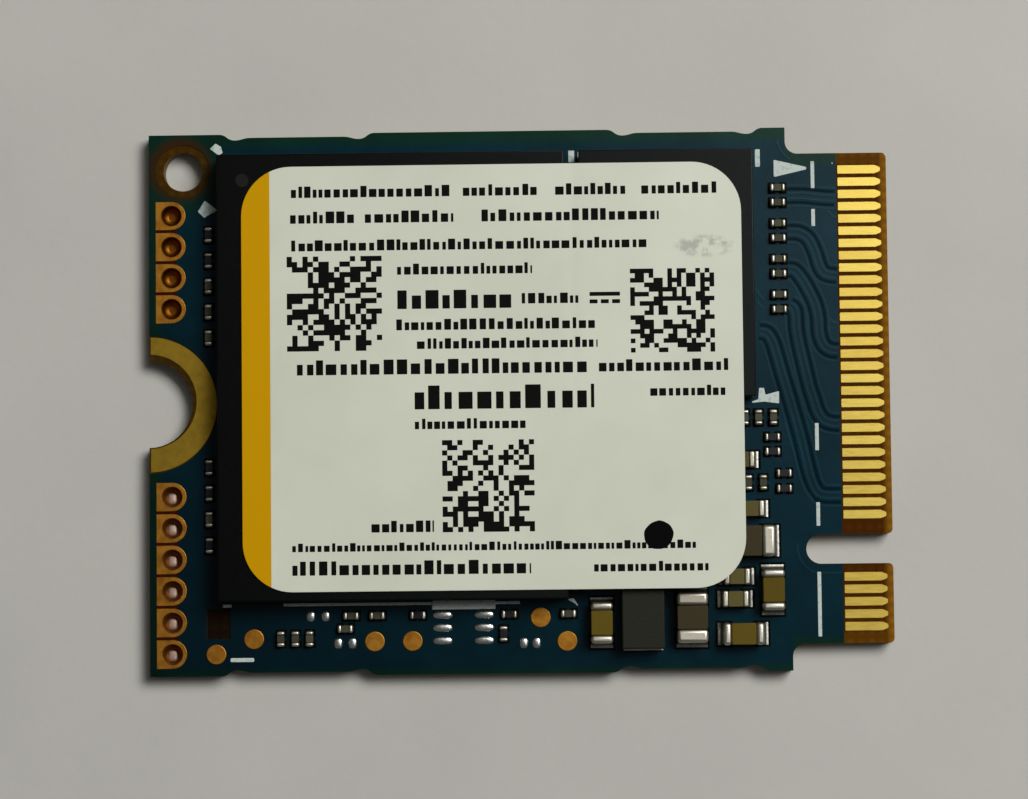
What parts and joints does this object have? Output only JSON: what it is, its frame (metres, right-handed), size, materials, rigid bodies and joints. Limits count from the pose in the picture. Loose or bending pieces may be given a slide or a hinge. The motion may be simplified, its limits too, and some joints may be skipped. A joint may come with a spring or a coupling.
{
  "type": "gumstick solid state drive",
  "caption": "Small single-sided storage card: keyed gold contact edge, half-round screw notch, two labelled chip packages and chip parts on a blue board.",
  "frame": {"origin": "centre of the card's outline, on its bare back face", "axes": "+X along the card to its contact edge, +Y across the card away from the key slot, +Z out of the component side"},
  "size_m": [0.03, 0.022, 0.0022],
  "materials": {
    "board_mask": "dark blue-green solder mask over glass-epoxy laminate, semi-gloss",
    "contact_gold": "gold plating over copper, bright",
    "bare_copper": "thin gold finish over copper, satin orange",
    "solder": "reflowed tin solder, bright",
    "package_substrate": "sawn laminate edge, dark green",
    "package_mold": "black moulding compound, fine matt grain",
    "label_film": "satin white printed film with a yellow band",
    "tan_ceramic": "fired ceramic, satin tan",
    "grey_ceramic": "fired ceramic, satin grey-brown",
    "tin_plating": "matt tin plating",
    "resistor_coat": "black glass overcoat on alumina",
    "inductor_powder": "pressed iron powder, dark grey"
  },
  "bodies": {
    "root": {"circuit_board": "board_mask", "edge_contacts_top": "contact_gold", "edge_contacts_bottom": "contact_gold", "screw_ring_top": "contact_gold", "screw_ring_bottom": "contact_gold", "plated_holes": "bare_copper", "test_pads": "bare_copper", "flash_solder_balls": "solder", "flash_substrate": "package_substrate", "flash_mold_cap": "package_mold", "controller_solder_balls": "solder", "controller_substrate": "package_substrate", "controller_mold_cap": "package_mold", "label": "label_film", "large_capacitor_bodies": "grey_ceramic", "large_capacitor_ends": "tin_plating", "medium_capacitor_bodies": "tan_ceramic", "medium_capacitor_ends": "tin_plating", "small_capacitor_bodies": "tan_ceramic", "small_capacitor_ends": "tin_plating", "solder_fillets": "solder", "tiny_capacitor_bodies": "tan_ceramic", "tiny_capacitor_ends": "tin_plating", "resistor_bodies": "resistor_coat", "resistor_ends": "tin_plating", "inductor_core": "inductor_powder", "inductor_terminals": "tin_plating", "regulator_chip": "package_mold", "regulator_leads": "solder", "solder_bumps": "solder"}
  },
  "joints": []
}
